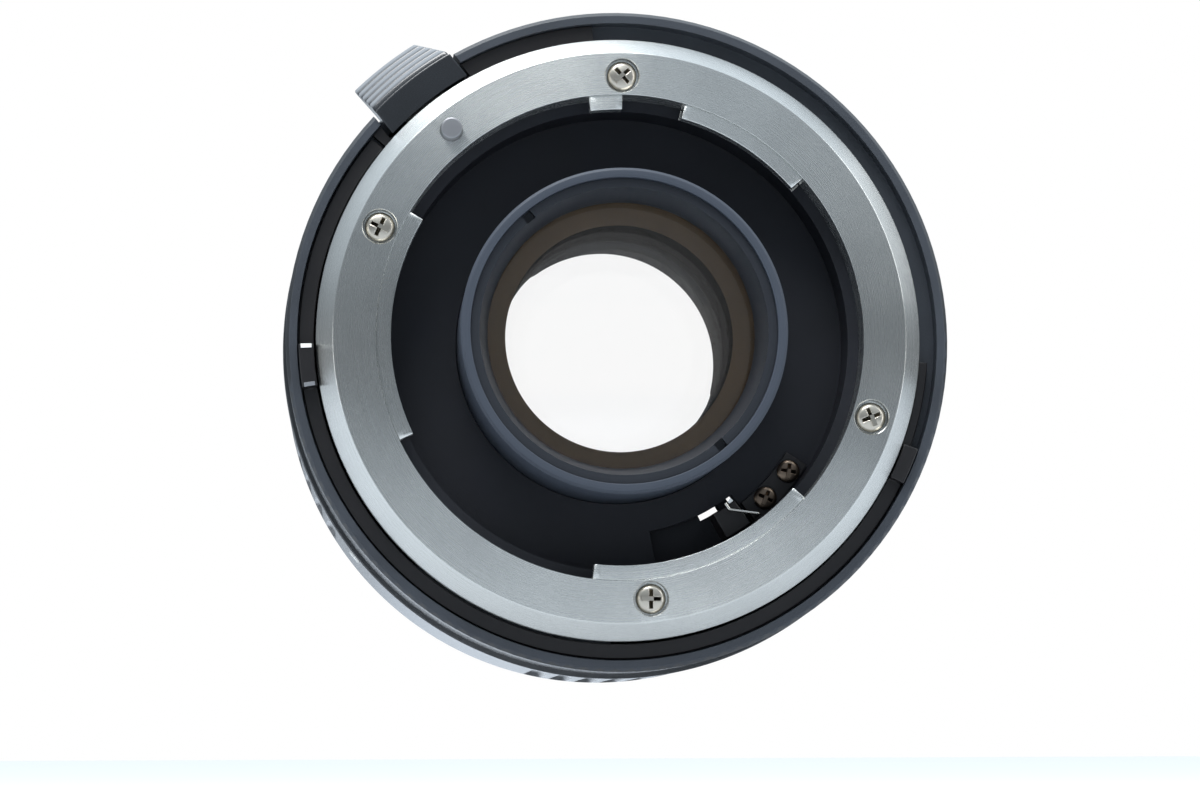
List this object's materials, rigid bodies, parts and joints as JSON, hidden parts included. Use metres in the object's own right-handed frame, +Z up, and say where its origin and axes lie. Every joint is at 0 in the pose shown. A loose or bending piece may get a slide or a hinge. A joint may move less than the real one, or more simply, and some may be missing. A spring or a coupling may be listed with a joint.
{
  "type": "camera teleconverter",
  "caption": "Long teleconverter with a bayonet lens socket, protruding glass collar, ribbed barrel, release slide, turning meter cage and stop-down lever.",
  "frame": {"origin": "on the optical axis, at the camera-side flange face", "axes": "+Y along the optical axis towards the camera, so the lens side faces -Y; +Z up as pictured"},
  "size_m": [0.065, 0.0628, 0.065],
  "materials": {
    "turned_stainless": "turned, satin",
    "nickel_screw": "nickel plated, satin",
    "spring_steel": "bright",
    "blackened_screw": "blackened",
    "matte_black_alloy": "matte black anodised",
    "black_paint_matte": "matte black paint, fine texture",
    "black_paint_satin": "satin black paint",
    "brown_black_anodised": "satin anodised",
    "blue_grey_anodised": "satin anodised",
    "bead_paint": "gloss",
    "white_paint": "gloss paint",
    "coated_glass": "polished, coated"
  },
  "bodies": {
    "converter_body": {"lens_mount": "turned_stainless", "lens_mount_screws": "nickel_screw", "bayonet_leaf_springs": "spring_steel", "front_housing": "matte_black_alloy", "tube_carrier": "matte_black_alloy", "rear_housing": "matte_black_alloy", "front_ring": "black_paint_matte", "guide_plates": "brown_black_anodised", "grip_ring": "black_paint_satin", "rear_barrel": "black_paint_satin", "barrel_set_screws": "blackened_screw", "index_beads": "bead_paint", "socket_floor": "matte_black_alloy", "lever_bracket": "brown_black_anodised", "lever_bracket_screws": "nickel_screw", "lever_return_spring": "spring_steel", "release_spring": "spring_steel", "optical_tube": "blue_grey_anodised", "front_retaining_ring": "blue_grey_anodised", "rear_retaining_ring": "matte_black_alloy", "tube_lock_ring": "matte_black_alloy", "rear_light_tube": "matte_black_alloy", "rear_mount": "turned_stainless", "rear_mount_screws": "nickel_screw", "lens_element_1": "coated_glass", "lens_element_2": "coated_glass", "lens_element_3": "coated_glass", "lens_element_4": "coated_glass", "lens_element_5": "coated_glass", "lens_spacer_1": "matte_black_alloy", "lens_spacer_2": "matte_black_alloy", "lens_spacer_3": "matte_black_alloy", "lens_spacer_4": "matte_black_alloy"},
    "lens_release": {"release_button": "black_paint_satin", "release_arm": "spring_steel", "lock_pin": "turned_stainless"},
    "meter_cage": {"meter_ring_front": "brown_black_anodised", "meter_tab_marks": "white_paint", "meter_link_bars": "brown_black_anodised", "meter_ring_rear": "brown_black_anodised", "meter_link_screws": "nickel_screw"},
    "stop_down_lever": {"aperture_ring": "brown_black_anodised", "stop_down_fork": "brown_black_anodised", "aperture_bar": "brown_black_anodised"}
  },
  "joints": [
    {"name": "release_slide", "type": "slide", "parent": "converter_body", "child": "lens_release", "axis": [0, 1, 0], "range_m": [0, 0.0018], "stiffness_N_per_m": 600, "springref_m": -0.003, "deforming": ["release_spring"]},
    {"name": "meter_turn", "type": "hinge", "parent": "converter_body", "child": "meter_cage", "pos_m": [0, 0, 0], "axis": [0, -1, 0], "range_deg": [0, 50], "stiffness_Nm_per_rad": 0.01, "springref_deg": -57.3},
    {"name": "stop_down_turn", "type": "hinge", "parent": "converter_body", "child": "stop_down_lever", "pos_m": [0, 0, 0], "axis": [0, 1, 0], "range_deg": [0, 17], "stiffness_Nm_per_rad": 0.02, "springref_deg": -34.38}
  ]
}
